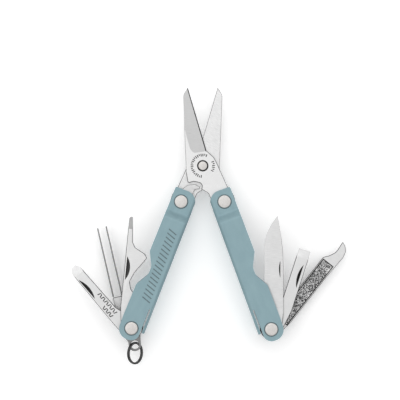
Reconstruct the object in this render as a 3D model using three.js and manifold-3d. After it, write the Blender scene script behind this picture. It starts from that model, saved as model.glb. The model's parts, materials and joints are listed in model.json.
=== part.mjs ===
// A pocket scissors multi-tool. Two folded-steel handles carry a pair of small scissors between their ears
// and six hinged tools at their far ends, with a key ring on a bail. Millimetres, +Z is the thickness.
// Plan coordinates start at the scissor pivot; z = 0 is the plane where the two scissor halves meet.
import * as THREE from "three";
import { mergeVertices } from "three/addons/utils/BufferGeometryUtils.js";
import Module from "manifold-3d";

const wasm = await Module();
wasm.setup();

// Scissors
const BLADE_FACE = 1.5; // outer face of each half
const BLADE_GAP = 0.06; // inner face of each half, from the mid-plane
const TANG_REACH = 16.72; // pivot rivet to handle rivet
const TANG_SPREAD = 31.15; // each tang's angle from straight down
const PIVOT_HEAD = 1.75; // radius of the flush pivot rivet
const PIVOT_WELL = 2.3; // radius of the countersink round it

// Handles: u runs from the rim (open side) to the web, v from the scissor rivet to the tool rivet.
const SPAN = 54;
const SPLAY = { left: 21.35, right: 20.12 };
const WALL = 0.9;
const BODY_HALF = 5.7; // half of the channel's outside width
const EAR_HALF = 2.6; // the same at the narrow ears
const JOGGLE_START = 4.6;
const JOGGLE_END = 7.6;
const WEB_OUT = 5.5;
const BEND = 1.4; // outer radius of the folds
const TOP_EDGE = -4.9;
const FOOT_EDGE = 58.7;
const RIM_EDGE = -4.6;
const WEB_START = 1.5; // the web leaves the ears open above this
const SLIT_START = 44.4; // a slit frees the end of the web as a back spring
const SLIT_NEAR = 3.8;
const SLIT_FAR = 4.4;
const TAB_END = 54.3;

// Rivets and what they carry
const SHAFT = 1.5;
const HOLE = 1.8;
const RIVET_HEAD = 2.55;
const HEAD_RISE = 0.5;
const HEAD_GAP = 0.05;
const WASHER_RADIUS = 3.4;

// Layers of the stack, from the mid-plane outwards
const OUTER_LAYER = [3.3, 4.7];
const INNER_LAYER = [1.7, 3.1];
const REAR_LAYER = [-4.7, -1.7];
const FRONT_TANG = [0.1, 1.5];
const REAR_TANG = [-1.5, -0.1];
const BAIL_HALF = 0.45;
const MIDDLE_HALF = 1.55; // space between the two tool stacks, less a small clearance

// Each tool's rest opening from its stowed place, in degrees
const OPEN = { opener: 15.7, large: 62.3, tweezers: 34.3, knife: 20.1, medium: 37.8, file: 58.3 };

// Key ring
const RING_OUTER = 4.5;
const RING_WIRE = 0.8;
const RING_DEPTH = 1.0;
const RING_TILT = 52;
const BAIL_HOLE = 1.7;
const BAIL_EYE = [-27.06, -71.5];
const RING_CENTRE = [-27.06, -74.9];

const ARC_STEP = Math.PI / 10;
const rad = THREE.MathUtils.degToRad;

const finish = (color, roughness) => new THREE.MeshStandardMaterial({ color, roughness, metalness: 1 });
const COATED = finish(0x8fa8b1, 0.45);
const BLADE_STEEL = finish(0xd6d6d4, 0.3);
const SPRING_STEEL = finish(0xc6c6c4, 0.35);
const RIVET_STEEL = finish(0xd4d2cf, 0.35);
const RING_STEEL = finish(0x77787a, 0.3);

// Corner points [x, y, radius] become a closed line with each corner rounded by its radius. Where two
// arcs want more than the edge between them, both shrink to fit.
function rounded(corners) {
  const count = corners.length;
  const at = (i) => new THREE.Vector2(...corners[(i + count) % count].slice(0, 2));
  const edge = (i) => at(i + 1).sub(at(i));
  const halfAngle = (i) => edge(i - 1).negate().angleTo(edge(i)) / 2;
  const wanted = corners.map(([, , radius = 0], i) => radius / Math.tan(halfAngle(i)));
  const share = (i) => {
    const sum = wanted[(i + count) % count] + wanted[(i + 1 + count) % count];
    return Math.min(1, (0.999 * edge(i).length()) / Math.max(sum, 1e-6));
  };
  const line = [];
  for (let i = 0; i < count; i++) {
    const reach = wanted[i] * Math.min(share(i - 1), share(i));
    if (reach < 1e-3) {
      line.push(at(i));
      continue;
    }
    const half = halfAngle(i);
    const back = edge(i - 1).negate().normalize();
    const ahead = edge(i).normalize();
    const inwards = back.clone().add(ahead).normalize();
    const centre = at(i).addScaledVector(inwards, reach / Math.cos(half));
    const start = at(i).addScaledVector(back, reach);
    const turn = (Math.PI - 2 * half) * Math.sign(ahead.cross(back));
    const steps = Math.max(1, Math.ceil(Math.abs(turn) / ARC_STEP));
    for (let k = 0; k <= steps; k++) {
      line.push(start.clone().rotateAround(centre, (turn * k) / steps));
    }
  }
  return line;
}

const circle = (radius, x = 0, y = 0) => new THREE.Path().absarc(x, y, radius, 0, 2 * Math.PI);

// A flat plate of the given outline between two heights, with round holes [radius, x, y].
function plate(corners, [low, high], holes = []) {
  const shape = new THREE.Shape(rounded(corners));
  shape.holes = holes.map(([radius, x, y]) => circle(radius, x, y));
  const options = { depth: high - low, bevelEnabled: false, curveSegments: 11 };
  return new THREE.ExtrudeGeometry(shape, options).translate(0, 0, low);
}

// A turned body: the profile [radius, z] starts and ends on the axis, or closes on itself.
function turned(profile, segments = 24) {
  const points = profile.map(([r, z]) => new THREE.Vector2(r, z));
  return new THREE.LatheGeometry(points, segments).rotateX(Math.PI / 2);
}

const washer = (outer, inner, [low, high]) =>
  turned([[inner, low], [outer, low], [outer, high], [inner, high], [inner, low]]);

// A rivet through z = 0: a shaft with a flat chamfered head beyond each end of the grip.
function rivet(grip) {
  const seat = grip + HEAD_GAP;
  const top = seat + HEAD_RISE;
  const half = [[SHAFT, seat], [RIVET_HEAD, seat], [RIVET_HEAD, top - 0.2], [RIVET_HEAD - 0.25, top], [0, top]];
  const mirrored = half.map(([r, z]) => [r, -z]).reverse();
  return turned([...mirrored, ...half]);
}

// Exact joins and cuts
function solid(geometry) {
  const open = geometry.index ? geometry.toNonIndexed() : geometry;
  const bare = new THREE.BufferGeometry().setAttribute("position", open.getAttribute("position"));
  const merged = mergeVertices(bare, 1e-4);
  const vertProperties = merged.attributes.position.array;
  const triVerts = new Uint32Array(merged.index.array);
  return new wasm.Manifold(new wasm.Mesh({ numProp: 3, vertProperties, triVerts }));
}

function geometryOf(body) {
  const { vertProperties, triVerts } = body.getMesh();
  const geometry = new THREE.BufferGeometry();
  geometry.setAttribute("position", new THREE.BufferAttribute(vertProperties, 3));
  geometry.setIndex(new THREE.BufferAttribute(triVerts, 1));
  geometry.computeVertexNormals();
  return geometry;
}

const cut = (geometry, cutters) =>
  geometryOf(cutters.reduce((body, cutter) => body.subtract(solid(cutter)), solid(geometry)));

// A wedge that grinds a face down: nothing at the line from a to b, depth at reach to its left.
function grind([ax, ay], [bx, by], face, depth, reach) {
  const length = Math.hypot(bx - ax, by - ay);
  const outward = Math.sign(face - depth);
  const profile = new THREE.Shape([
    new THREE.Vector2(0, face),
    new THREE.Vector2(reach, depth),
    new THREE.Vector2(reach, face + outward),
    new THREE.Vector2(-0.5, face + outward),
    new THREE.Vector2(-0.5, face),
  ]);
  const wedge = new THREE.ExtrudeGeometry(profile, { depth: length, bevelEnabled: false });
  const along = new THREE.Vector3((bx - ax) / length, (by - ay) / length, 0);
  const left = new THREE.Vector3(-along.y, along.x, 0);
  const frame = new THREE.Matrix4().makeBasis(left, new THREE.Vector3(0, 0, 1), along);
  return wedge.applyMatrix4(frame).translate(ax, ay, 0);
}

// Both faces of a layer ground towards its middle, down to an edge of the given thickness.
function grindBoth(a, b, [low, high], edge, reach) {
  const middle = (low + high) / 2;
  return [
    grind(a, b, high, middle + edge / 2, reach),
    grind(a, b, low, middle - edge / 2, reach),
  ];
}

// The crescent that a thumbnail catches: its chord lies on the line x = n, and it swells by sag.
function nick(n, from, to, sag, [, high], depth = 0.45) {
  const half = (to - from) / 2;
  const radius = (half * half + sag * sag) / (2 * sag);
  const spread = Math.asin(half / radius);
  const shape = new THREE.Shape();
  shape.absarc(n + sag - radius, (from + to) / 2, radius, -spread, spread);
  const options = { depth: depth + 1, bevelEnabled: false, curveSegments: 6 };
  return new THREE.ExtrudeGeometry(shape, options).translate(0, 0, high - depth);
}

// Scissors. The outline is the front half's: the blade runs up and left, the tang down and right.
const BLADE_TIP = [-5.96, 31.3];
const BLADE_HEEL = [1.5, 6.0];
const SPRING_SEAT = [[-3.6, -6.2, 1.5], [-0.8, -6.9, 0.6], [-0.2, -8.0, 0.5], [-0.5, -9.6, 0.4]];
const PLAIN_SHOULDER = [[-3.6, -7.6, 1.5]];

function scissorHalf(shoulder, [low, high], edgeSide) {
  const corners = [
    [...BLADE_TIP, 0.12], [-7.85, 28.4, 3.2], [-7.3, 14.4, 20], [-6.6, -3.0, 5], [-5.9, -6.95, 0.7],
    ...shoulder,
    [0.3, -9.8, 1.5], [2.3, -11.0, 2], [3.1, -13.1, 2], [4.2, -14.4, 2], [6.2, -19.8, 4.1],
    [14.2, -16.9, 4.1], [12.0, -11.0, 3], [9.95, -8.4, 3], [5.5, 1.4, 5], [4.3, 3.5, 2], [...BLADE_HEEL, 0.4],
  ];
  const rivetX = TANG_REACH * Math.sin(rad(TANG_SPREAD));
  const rivetY = -TANG_REACH * Math.cos(rad(TANG_SPREAD));
  const holes = [[PIVOT_HEAD, 0, 0], [HOLE, rivetX, rivetY]];
  const outer = edgeSide > 0 ? high : low;
  const well = edgeSide > 0 ? [high - 0.5, high + 1] : [low - 1, low + 0.5];
  const bevelFloor = outer - edgeSide * 1.1;
  return cut(plate(corners, [low, high], holes), [
    turned([[0, well[0]], [PIVOT_WELL, well[0]], [PIVOT_WELL, well[1]], [0, well[1]]]),
    grind([-7.85, 31.9], [-6.9, 5.6], outer, bevelFloor, 8.8),
  ]);
}

function springLever() {
  const corners = [
    [-11.6, -10.5, 3], [-8.2, -9.3, 2], [-6.0, -7.7, 2], [-3.0, -7.4, 2], [-1.2, -8.4, 0.3], [-1.3, -9.2, 0.3],
    [-3.2, -9.4, 0.5], [-4.6, -12.6, 1.5], [-6.3, -19.6, 4], [-14.0, -16.6, 4],
  ];
  const rivetX = -TANG_REACH * Math.sin(rad(TANG_SPREAD));
  const rivetY = -TANG_REACH * Math.cos(rad(TANG_SPREAD));
  return plate(corners, FRONT_TANG, [[HOLE, rivetX, rivetY]]);
}

// The section of the folded channel at one station, as a closed ring of points in u and z.
function channelSection(halfWidth) {
  const ring = [];
  const bend = (radius, sign, from, to) => {
    const steps = 4;
    for (let k = 0; k <= steps; k++) {
      const angle = rad(from + ((to - from) * k) / steps);
      const z = sign * (halfWidth - BEND) + radius * Math.sin(angle);
      ring.push([WEB_OUT - BEND + radius * Math.cos(angle), z]);
    }
  };
  ring.push([RIM_EDGE - 1, halfWidth]);
  bend(BEND, 1, 90, 0);
  bend(BEND, -1, 0, -90);
  ring.push([RIM_EDGE - 1, -halfWidth], [RIM_EDGE - 1, WALL - halfWidth]);
  bend(BEND - WALL, -1, -90, 0);
  bend(BEND - WALL, 1, 0, 90);
  ring.push([RIM_EDGE - 1, halfWidth - WALL]);
  return ring;
}

// Skins a closed body over sections of equal length that stand at stations along v.
function loft(stations) {
  const rings = stations.map(([v, halfWidth]) => channelSection(halfWidth).map(([u, z]) => [u, v, z]));
  const count = rings[0].length;
  const faces = [];
  for (let s = 0; s + 1 < rings.length; s++) {
    for (let i = 0; i < count; i++) {
      const a = s * count + i;
      const b = s * count + ((i + 1) % count);
      faces.push([a, b, a + count], [b, b + count, a + count]);
    }
  }
  const contour = channelSection(stations[0][1]).map(([u, z]) => new THREE.Vector2(u, z));
  const last = (rings.length - 1) * count;
  for (const [a, b, c] of THREE.ShapeUtils.triangulateShape(contour, [])) {
    faces.push([a, b, c], [last + a, last + c, last + b]);
  }
  const geometry = new THREE.BufferGeometry();
  geometry.setAttribute("position", new THREE.Float32BufferAttribute(rings.flat(2), 3));
  geometry.setIndex(faces.flat());
  return geometry;
}

// One handle in its own u, v, z: a folded channel with narrow ears, a thumb notch and a back-spring slit.
function handle() {
  const channel = loft([
    [TOP_EDGE - 1, EAR_HALF], [JOGGLE_START, EAR_HALF], [JOGGLE_END, BODY_HALF], [FOOT_EDGE + 1, BODY_HALF],
  ]);
  const sides = plate([
    [-4.1, TOP_EDGE, 0.6], [5.6, TOP_EDGE, 4.6], [5.6, TAB_END, 0.2], [3.9, TAB_END, 0],
    [3.9, FOOT_EDGE, 3.6], [-4.7, FOOT_EDGE, 4.4], [-4.9, 50, 6], [-4.65, 37, 1],
    [-1.55, 31.6, 4], [-1.55, 28.4, 4], [-4.4, 22.7, 1],
  ], [-7, 7], [[HOLE, 0, 0], [HOLE, 0, SPAN]]);
  const box = (u0, u1, v0, v1, half) =>
    new THREE.BoxGeometry(u1 - u0, v1 - v0, 2 * half).translate((u0 + u1) / 2, (v0 + v1) / 2, 0);
  const body = solid(channel)
    .intersect(solid(sides))
    .subtract(solid(box(SLIT_NEAR, SLIT_FAR, SLIT_START, FOOT_EDGE + 2, 7)))
    .subtract(solid(box(SLIT_NEAR - 1.5, 7, TOP_EDGE - 1, WEB_START, EAR_HALF - WALL)));
  return geometryOf(body);
}

// Tools in their own n, s: n runs towards the web when stowed, s along the tool from its rivet.
const TANG_FOOT = [[4.3, -4.3, 4.2], [-4.3, -4.3, 4.2]];

function bottleOpener() {
  const corners = [
    [-5.2, 44.1, 1.0], [-3.8, 44.1, 0.4], [-2.9, 34.1, 1], [-1.8, 32.1, 1], [2.3, 29.9, 1], [3.4, 28.3, 0.6],
    [-1.1, 21.9, 1.5], [-2.6, 18.2, 1.5], [-1.8, 15.4, 2], [2.2, 11.0, 2], [4.3, 6, 2],
    ...TANG_FOOT, [-4.5, 2, 3], [-5.2, 8, 4],
  ];
  return cut(plate(corners, OUTER_LAYER, [[HOLE, 0, 0]]), [
    nick(-4.5, 18.9, 28.2, 1.55, OUTER_LAYER),
    ...grindBoth([-2, 39.2], [-7, 39.2], OUTER_LAYER, 0.7, -5.5),
  ]);
}

function largeDriver() {
  const corners = [
    [-3.9, 31.9, 0.5], [-2.5, 33.5, 0.3], [-0.7, 33.6, 0.3], [0.4, 31.4, 0.5], [0.5, 10.2, 1], [1.3, 7.8, 1],
    [4.3, 5, 2], ...TANG_FOOT, [-4.5, 6, 3],
  ];
  return cut(plate(corners, INNER_LAYER, [[HOLE, 0, 0]]), [
    nick(-3.5, 18.4, 28.2, 1.25, INNER_LAYER),
    ...grindBoth([2, 29.9], [-6, 29.9], INNER_LAYER, 0.6, -4.5),
  ]);
}

function mediumDriver() {
  const corners = [
    [-5.75, 34.1, 0.3], [-0.85, 34.1, 0.3], [-0.75, 11.5, 2], [4.3, 5.5, 2], ...TANG_FOOT, [-4.6, 3, 3], [-5.6, 9, 4],
  ];
  return cut(plate(corners, INNER_LAYER, [[HOLE, 0, 0]]), [
    nick(-4.6, 18.6, 28.2, 1.1, INNER_LAYER),
    ...grindBoth([2, 30.4], [-8, 30.4], INNER_LAYER, 0.6, -4.2),
  ]);
}

function knife() {
  const corners = [
    [-2.6, 45.2, 0.2], [-3.6, 39.3, 6], [-4.55, 32.6, 9], [-4.84, 25, 9], [-4.84, 6, 3], [-4.3, 1, 3],
    ...TANG_FOOT.slice().reverse(), [3.9, 2.4, 1.2], [2.2, 4.9, 0.5], [1.7, 5.9, 0.4], [2.6, 6.8, 0.5],
    [2.6, 35.0, 8], [1.6, 38.7, 6], [-0.3, 42.0, 6],
  ];
  return cut(plate(corners, OUTER_LAYER, [[HOLE, 0, 0]]), [
    nick(-3.6, 20.4, 27.3, 0.65, OUTER_LAYER),
    ...grindBoth([-4.5, 47], [-4.5, 8.2], OUTER_LAYER, 0.2, 7.2),
  ]);
}

function nailFile() {
  const corners = [
    [1.05, 35.4, 0.3], [-0.45, 37.2, 3], [-1.85, 40.2, 4], [-1.4, 45.1, 0.2], [-3.1, 44.4, 1], [-4.7, 43.0, 2],
    [-5.45, 40.4, 4], [-5.0, 30, 4], [-5.0, 7, 3], [-4.3, 1, 3], ...TANG_FOOT.slice().reverse(), [4.3, 4, 2],
    [1.05, 8.6, 2],
  ];
  return plate(corners, [REAR_LAYER[1] - 1.4, REAR_LAYER[1]], [[HOLE, 0, 0]]);
}

const TWEEZER_ARM = 0.5;
const TWEEZER_OUTER = -4.95;
const TWEEZER_INNER = -1.45;
const TWEEZER_ROOT = 13.4;
const TWEEZER_TIP = 41.7;

function tweezerBase() {
  const corners = [
    [TWEEZER_OUTER, 13.1, 0.3], [-0.95, 13.1, 0.3], [-0.95, 9.5, 2], [4.3, 4, 2], ...TANG_FOOT, [-4.3, 1, 2],
    [TWEEZER_OUTER, 7, 3],
  ];
  return plate(corners, REAR_LAYER, [[HOLE, 0, 0]]);
}

function tweezerArm(left) {
  const [low, high] = REAR_LAYER;
  return new THREE.BoxGeometry(TWEEZER_ARM, TWEEZER_TIP - TWEEZER_ROOT, high - low).translate(
    left + TWEEZER_ARM / 2,
    (TWEEZER_ROOT + TWEEZER_TIP) / 2,
    (low + high) / 2,
  );
}

// Assembly
const model = new THREE.Group();

function piece(parent, name, geometry, material) {
  const mesh = new THREE.Mesh(geometry, material);
  mesh.name = name;
  parent.add(mesh);
}

// A group turned about Z at a point of its parent, mirrored across its own X when flip is -1.
function station(parent, x, y, degrees, flip) {
  const group = new THREE.Group();
  group.position.set(x, y, 0);
  group.rotation.z = rad(degrees);
  group.scale.x = flip;
  parent.add(group);
  return group;
}

piece(model, "scissor_blade_front", scissorHalf(SPRING_SEAT, [BLADE_GAP, BLADE_FACE], 1), BLADE_STEEL);
const mirrored = station(model, 0, 0, 0, -1);
piece(mirrored, "scissor_blade_back", scissorHalf(PLAIN_SHOULDER, [-BLADE_FACE, -BLADE_GAP], -1), BLADE_STEEL);
const pivotTop = BLADE_FACE + 0.1;
const pivotProfile = [
  [0, -pivotTop], [PIVOT_HEAD, -pivotTop], [PIVOT_HEAD, -1.15], [PIVOT_HEAD - 0.35, -1.0],
  [PIVOT_HEAD - 0.35, 1.0], [PIVOT_HEAD, 1.15], [PIVOT_HEAD, pivotTop], [0, pivotTop],
];
piece(model, "scissor_pivot_rivet", turned(pivotProfile), RIVET_STEEL);
piece(model, "scissor_spring", springLever(), SPRING_STEEL);

// Each handle with its two rivets. side is 1 on the right and -1 on the left.
function handleStation(name, side) {
  const x = side * TANG_REACH * Math.sin(rad(TANG_SPREAD));
  const y = -TANG_REACH * Math.cos(rad(TANG_SPREAD));
  const frame = station(model, x, y, 180 + side * SPLAY[name], side);
  piece(frame, name + "_handle", handle(), COATED);
  piece(frame, name + "_scissor_rivet", rivet(EAR_HALF), RIVET_STEEL);
  const toolEnd = station(frame, 0, SPAN, 180, -1);
  piece(toolEnd, name + "_tool_rivet", rivet(BODY_HALF), RIVET_STEEL);
  return toolEnd;
}

// A tool swings from its stowed place, along the handle, out past the rim.
const opened = (toolEnd, degrees) => station(toolEnd, 0, 0, degrees, 1);

const leftEnd = handleStation("left", -1);
piece(opened(leftEnd, OPEN.opener), "bottle_opener", bottleOpener(), BLADE_STEEL);
piece(opened(leftEnd, OPEN.large), "large_screwdriver", largeDriver(), BLADE_STEEL);
const tweezers = opened(leftEnd, OPEN.tweezers);
piece(tweezers, "tweezers_base", tweezerBase(), SPRING_STEEL);
piece(tweezers, "tweezers_outer_arm", tweezerArm(TWEEZER_OUTER), SPRING_STEEL);
piece(tweezers, "tweezers_inner_arm", tweezerArm(TWEEZER_INNER), SPRING_STEEL);

const rightEnd = handleStation("right", 1);
piece(opened(rightEnd, OPEN.knife), "knife_blade", knife(), BLADE_STEEL);
piece(opened(rightEnd, OPEN.medium), "medium_screwdriver", mediumDriver(), BLADE_STEEL);
piece(opened(rightEnd, OPEN.file), "nail_file", nailFile(), BLADE_STEEL);

const spacer = (parent, name, low, high) =>
  piece(parent, name, washer(WASHER_RADIUS, HOLE, [low, high]), SPRING_STEEL);
spacer(leftEnd, "left_front_washer", BAIL_HALF + 0.1, MIDDLE_HALF);
spacer(leftEnd, "left_rear_washer", -MIDDLE_HALF, -BAIL_HALF - 0.1);
spacer(rightEnd, "right_middle_spacer", -MIDDLE_HALF, MIDDLE_HALF);
spacer(rightEnd, "right_rear_spacer", REAR_LAYER[0], REAR_LAYER[1] - 1.5);
const rightEar = station(
  model,
  TANG_REACH * Math.sin(rad(TANG_SPREAD)),
  -TANG_REACH * Math.cos(rad(TANG_SPREAD)),
  0,
  1,
);
spacer(rightEar, "right_ear_spacer", ...REAR_TANG);

// Key ring: a flat bail on the left tool rivet and a ring through its eye.
const leftRivetX = -TANG_REACH * Math.sin(rad(TANG_SPREAD)) - SPAN * Math.sin(rad(SPLAY.left));
const leftRivetY = -TANG_REACH * Math.cos(rad(TANG_SPREAD)) - SPAN * Math.cos(rad(SPLAY.left));
const bailCorners = [
  [-31.6, -61.6, 3.2], [-25.0, -61.6, 3.2], [-24.9, -68.6, 1], [-24.5, -74.1, 2.5], [-29.6, -74.1, 2.5],
  [-29.7, -70.6, 1.5], [-31.7, -68.0, 1],
];
const bailHoles = [[HOLE, leftRivetX, leftRivetY], [BAIL_HOLE, ...BAIL_EYE]];
piece(model, "key_ring_bail", plate(bailCorners, [-BAIL_HALF, BAIL_HALF], bailHoles), SPRING_STEEL);

const ringSection = [];
for (const [r, z] of [[0.2, -1], [0.8, -1], [1, -0.7], [1, 0.7], [0.8, 1], [0.2, 1], [0, 0.7], [0, -0.7], [0.2, -1]]) {
  ringSection.push([RING_OUTER - RING_WIRE + r * RING_WIRE, (z * RING_DEPTH) / 2]);
}
const ring = turned(ringSection, 40).rotateY(rad(RING_TILT)).translate(...RING_CENTRE, 0);
piece(model, "split_ring", ring, RING_STEEL);

// Rest the object on its lowest face, centred on the origin.
model.updateMatrixWorld(true);
const bounds = new THREE.Box3().setFromObject(model, true);
const centre = bounds.getCenter(new THREE.Vector3());
model.position.set(-centre.x, -centre.y, -bounds.min.z);

export default model;
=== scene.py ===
"""Looks of the pocket scissors multi-tool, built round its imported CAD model. Each visible piece is made in
its own flat frame in millimetres, cut and ground there, and then placed on the rivets of the frame."""

import json
import math

import bmesh
import bpy
from mathutils import Matrix, Vector


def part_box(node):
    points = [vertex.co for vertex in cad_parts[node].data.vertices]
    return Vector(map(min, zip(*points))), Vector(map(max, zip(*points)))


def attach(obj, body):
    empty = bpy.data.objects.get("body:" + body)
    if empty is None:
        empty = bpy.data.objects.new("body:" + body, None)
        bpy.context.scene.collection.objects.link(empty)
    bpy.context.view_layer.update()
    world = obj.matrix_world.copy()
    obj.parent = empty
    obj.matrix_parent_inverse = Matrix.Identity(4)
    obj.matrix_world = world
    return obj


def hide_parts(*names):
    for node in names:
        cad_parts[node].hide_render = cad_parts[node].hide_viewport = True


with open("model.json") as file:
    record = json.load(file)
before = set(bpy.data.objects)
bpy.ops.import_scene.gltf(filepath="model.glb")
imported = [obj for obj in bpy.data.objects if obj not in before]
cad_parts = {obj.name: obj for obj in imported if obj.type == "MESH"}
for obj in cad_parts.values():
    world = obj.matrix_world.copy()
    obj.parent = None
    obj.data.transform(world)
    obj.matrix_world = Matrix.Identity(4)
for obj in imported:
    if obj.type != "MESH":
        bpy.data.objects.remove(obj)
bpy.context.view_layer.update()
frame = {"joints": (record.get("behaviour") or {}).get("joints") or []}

MM = 0.001
ARC_STEP = math.radians(7)
COARSE_STEP = math.radians(30)
PAST = 1  # how far a cutter runs past the face it cuts
THROUGH = 7  # half the height of a cutter that passes through the whole stack

# Handles: u runs from the rim to the web, v from the scissor rivet to the tool rivet
WALL = 0.9
BODY_HALF = 5.7  # half the channel's outside width
EAR_HALF = 2.6  # the same at the narrow ears
JOGGLE = (4.2, 8.0)  # where the ears start to widen, and where the body is full width
WEB_OUT = 5.5
BEND = 1.4  # outer radius of the folds
TOP_EDGE = -4.9
FOOT_EDGE = 58.7
RIM_EDGE = -4.6
WEB_START = 1.5  # the web leaves the ears open above this
EAR_OPENING = 2.3  # where that opening starts, in u
SHEET_ROUNDING = 0.1
SLIT = (3.8, 4.4, 44.4)  # near side, far side and start of the back spring's slit
TAB_END = 54.3

# Scissors, rivets and the layers of the stack, from the mid-plane outwards
BLADE_FACE = 1.5
BLADE_GAP = 0.06
HOLE = 1.72
EDGE = 0.2  # rounding of the blades' and tools' edges
FINE_EDGE = 0.12  # the same on the thin plates and washers
SHAFT = 1.5
RIVET_HEAD = 2.55
HEAD_GAP = 0.05
HEAD_RISE = 0.5
OUTER = (3.3, 4.7)
INNER = (1.7, 3.1)
FRONT_TANG = (0.1, 1.5)
REAR = (-4.7, -1.7)
FILE = (-3.1, -1.7)


# ---------------------------------------------------------------- places


def middle(node):
    """The middle of a CAD node's box, in the frame's metres."""
    low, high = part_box(node)
    return (low + high) / 2


def place(origin, degrees, flip=1):
    """Turns a piece's own millimetres into the frame's metres, mirrored across its own x when flip is -1."""
    turn = Matrix.Rotation(math.radians(degrees), 4, "Z")
    return Matrix.Translation(origin) @ turn @ Matrix.Diagonal((flip * MM, MM, MM, 1))


PIVOT = middle("scissor_pivot_rivet")
EARS = {name: middle(name + "_scissor_rivet") for name in ("left", "right")}
ENDS = {name: middle(name + "_tool_rivet") for name in ("left", "right")}
SIDE = {"left": -1, "right": 1}
RANGES = {joint["name"]: joint["range_deg"] for joint in frame["joints"]}


def splay(name):
    """A handle's angle from straight down, in degrees."""
    run = ENDS[name] - EARS[name]
    return math.degrees(math.atan2(abs(run.x), -run.y))


SPAN = (ENDS["left"] - EARS["left"]).length / MM


def handle_place(name):
    return place(EARS[name], 180 + SIDE[name] * splay(name), SIDE[name])


def tool_place(name, joint):
    """A tool's frame at rest: its joint's upper limit is how far it stands open from its stowed place."""
    opening = RANGES[joint][1]
    return place(ENDS[name], SIDE[name] * (splay(name) - opening), -SIDE[name])


# ---------------------------------------------------------------- shapes


def rounded(corners, step=ARC_STEP):
    """Corner points (x, y, radius) as a closed line with each corner rounded by its radius."""
    count = len(corners)
    at = [Vector(corner[:2]) for corner in corners]
    edges = [at[(i + 1) % count] - at[i] for i in range(count)]
    halves = [max(1e-4, (-edges[i - 1]).angle(edges[i]) / 2) for i in range(count)]
    wanted = [
        (corner[2] if len(corner) > 2 else 0) / math.tan(half)
        for corner, half in zip(corners, halves)
    ]
    share = [
        min(1, 0.999 * edges[i].length / max(wanted[i] + wanted[(i + 1) % count], 1e-6))
        for i in range(count)
    ]
    line = []
    for i in range(count):
        reach = wanted[i] * min(share[i - 1], share[i])
        if reach < 1e-3:
            line.append(at[i])
            continue
        back = (-edges[i - 1]).normalized()
        ahead = edges[i].normalized()
        centre = at[i] + (back + ahead).normalized() * reach / math.cos(halves[i])
        arm = at[i] + back * reach - centre
        turn = (math.pi - 2 * halves[i]) * (1 if ahead.cross(back) > 0 else -1)
        steps = max(1, math.ceil(abs(turn) / step))
        for k in range(steps + 1):
            line.append(centre + Matrix.Rotation(turn * k / steps, 2) @ arm)
    return line


def eased(t):
    """0 to 1 with level ends, as t goes from 0 to 1."""
    t = min(1.0, max(0.0, t))
    return t * t * (3 - 2 * t)


def circle(radius, x=0.0, y=0.0, count=48):
    angles = (2 * math.pi * k / count for k in range(count))
    return [Vector((x + radius * math.cos(a), y + radius * math.sin(a))) for a in angles]


def evaluated_mesh(obj):
    """The mesh that an object gives with its modifiers. The object itself is removed."""
    bpy.context.scene.collection.objects.link(obj)
    depsgraph = bpy.context.evaluated_depsgraph_get()
    mesh = bpy.data.meshes.new_from_object(obj.evaluated_get(depsgraph))
    bpy.data.objects.remove(obj)
    return mesh


def written(work, mesh=None):
    """Ends the edit of a mesh: its faces point outwards, and it goes into the mesh given or a new one."""
    mesh = mesh or bpy.data.meshes.new("piece")
    bmesh.ops.recalc_face_normals(work, faces=work.faces)
    work.to_mesh(mesh)
    work.free()
    return mesh


def slab(lines, low, high, edge=FINE_EDGE):
    """A plate between two heights. The first line is its outline and the others are holes. All its edges
    are rounded over by the width given."""
    curve = bpy.data.curves.new("outline", "CURVE")
    curve.dimensions = "2D"
    curve.fill_mode = "BOTH"
    for line in lines:
        spline = curve.splines.new("POLY")
        spline.points.add(len(line) - 1)
        spline.use_cyclic_u = True
        for point, (x, y) in zip(spline.points, line):
            point.co = (x, y, 0, 1)
    curve.extrude = (high - low) / 2 - edge
    curve.bevel_depth = edge
    curve.bevel_resolution = 2
    curve.offset = -edge
    mesh = evaluated_mesh(bpy.data.objects.new("outline", curve))
    bpy.data.curves.remove(curve)
    work = bmesh.new()
    work.from_mesh(mesh)
    bmesh.ops.remove_doubles(work, verts=work.verts, dist=1e-5)
    bmesh.ops.translate(work, verts=work.verts, vec=(0, 0, (low + high) / 2))
    return written(work, mesh)


def plate(corners, layer, holes=((HOLE, 0, 0),), edge=FINE_EDGE):
    lines = [rounded(corners)] + [circle(*hole) for hole in holes]
    return slab(lines, layer[0], layer[1], edge)


def prism(points, low, high):
    """A sharp-edged solid: the outline between two heights."""
    work = bmesh.new()
    bottom = work.faces.new([work.verts.new((x, y, low)) for x, y in points])
    grown = bmesh.ops.extrude_face_region(work, geom=[bottom])
    lifted = [item for item in grown["geom"] if isinstance(item, bmesh.types.BMVert)]
    bmesh.ops.translate(work, verts=lifted, vec=(0, 0, high - low))
    return written(work)


def block(x0, x1, y0, y1, z0, z1):
    return prism([(x0, y0), (x1, y0), (x1, y1), (x0, y1)], z0, z1)


def mirrored(half):
    """A turned profile on both sides of z = 0, from its upper half."""
    return [(radius, -z) for radius, z in reversed(half)] + half


def lathe(profile, count=64):
    """Turns (radius, z) points about z. The profile starts and ends on the axis."""
    work = bmesh.new()
    rings = []
    for radius, z in profile:
        if radius < 1e-6:
            rings.append([work.verts.new((0, 0, z))])
            continue
        rings.append([work.verts.new((x, y, z)) for x, y in circle(radius, count=count)])
    for first, second in zip(rings, rings[1:]):
        for k in range(count):
            corners = [first[k % len(first)], first[(k + 1) % len(first)]]
            corners += [second[(k + 1) % len(second)], second[k % len(second)]]
            work.faces.new(list(dict.fromkeys(corners)))
    return written(work)


def washer(outer, inner, low, high):
    return slab([circle(outer), circle(inner)], low, high)


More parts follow.
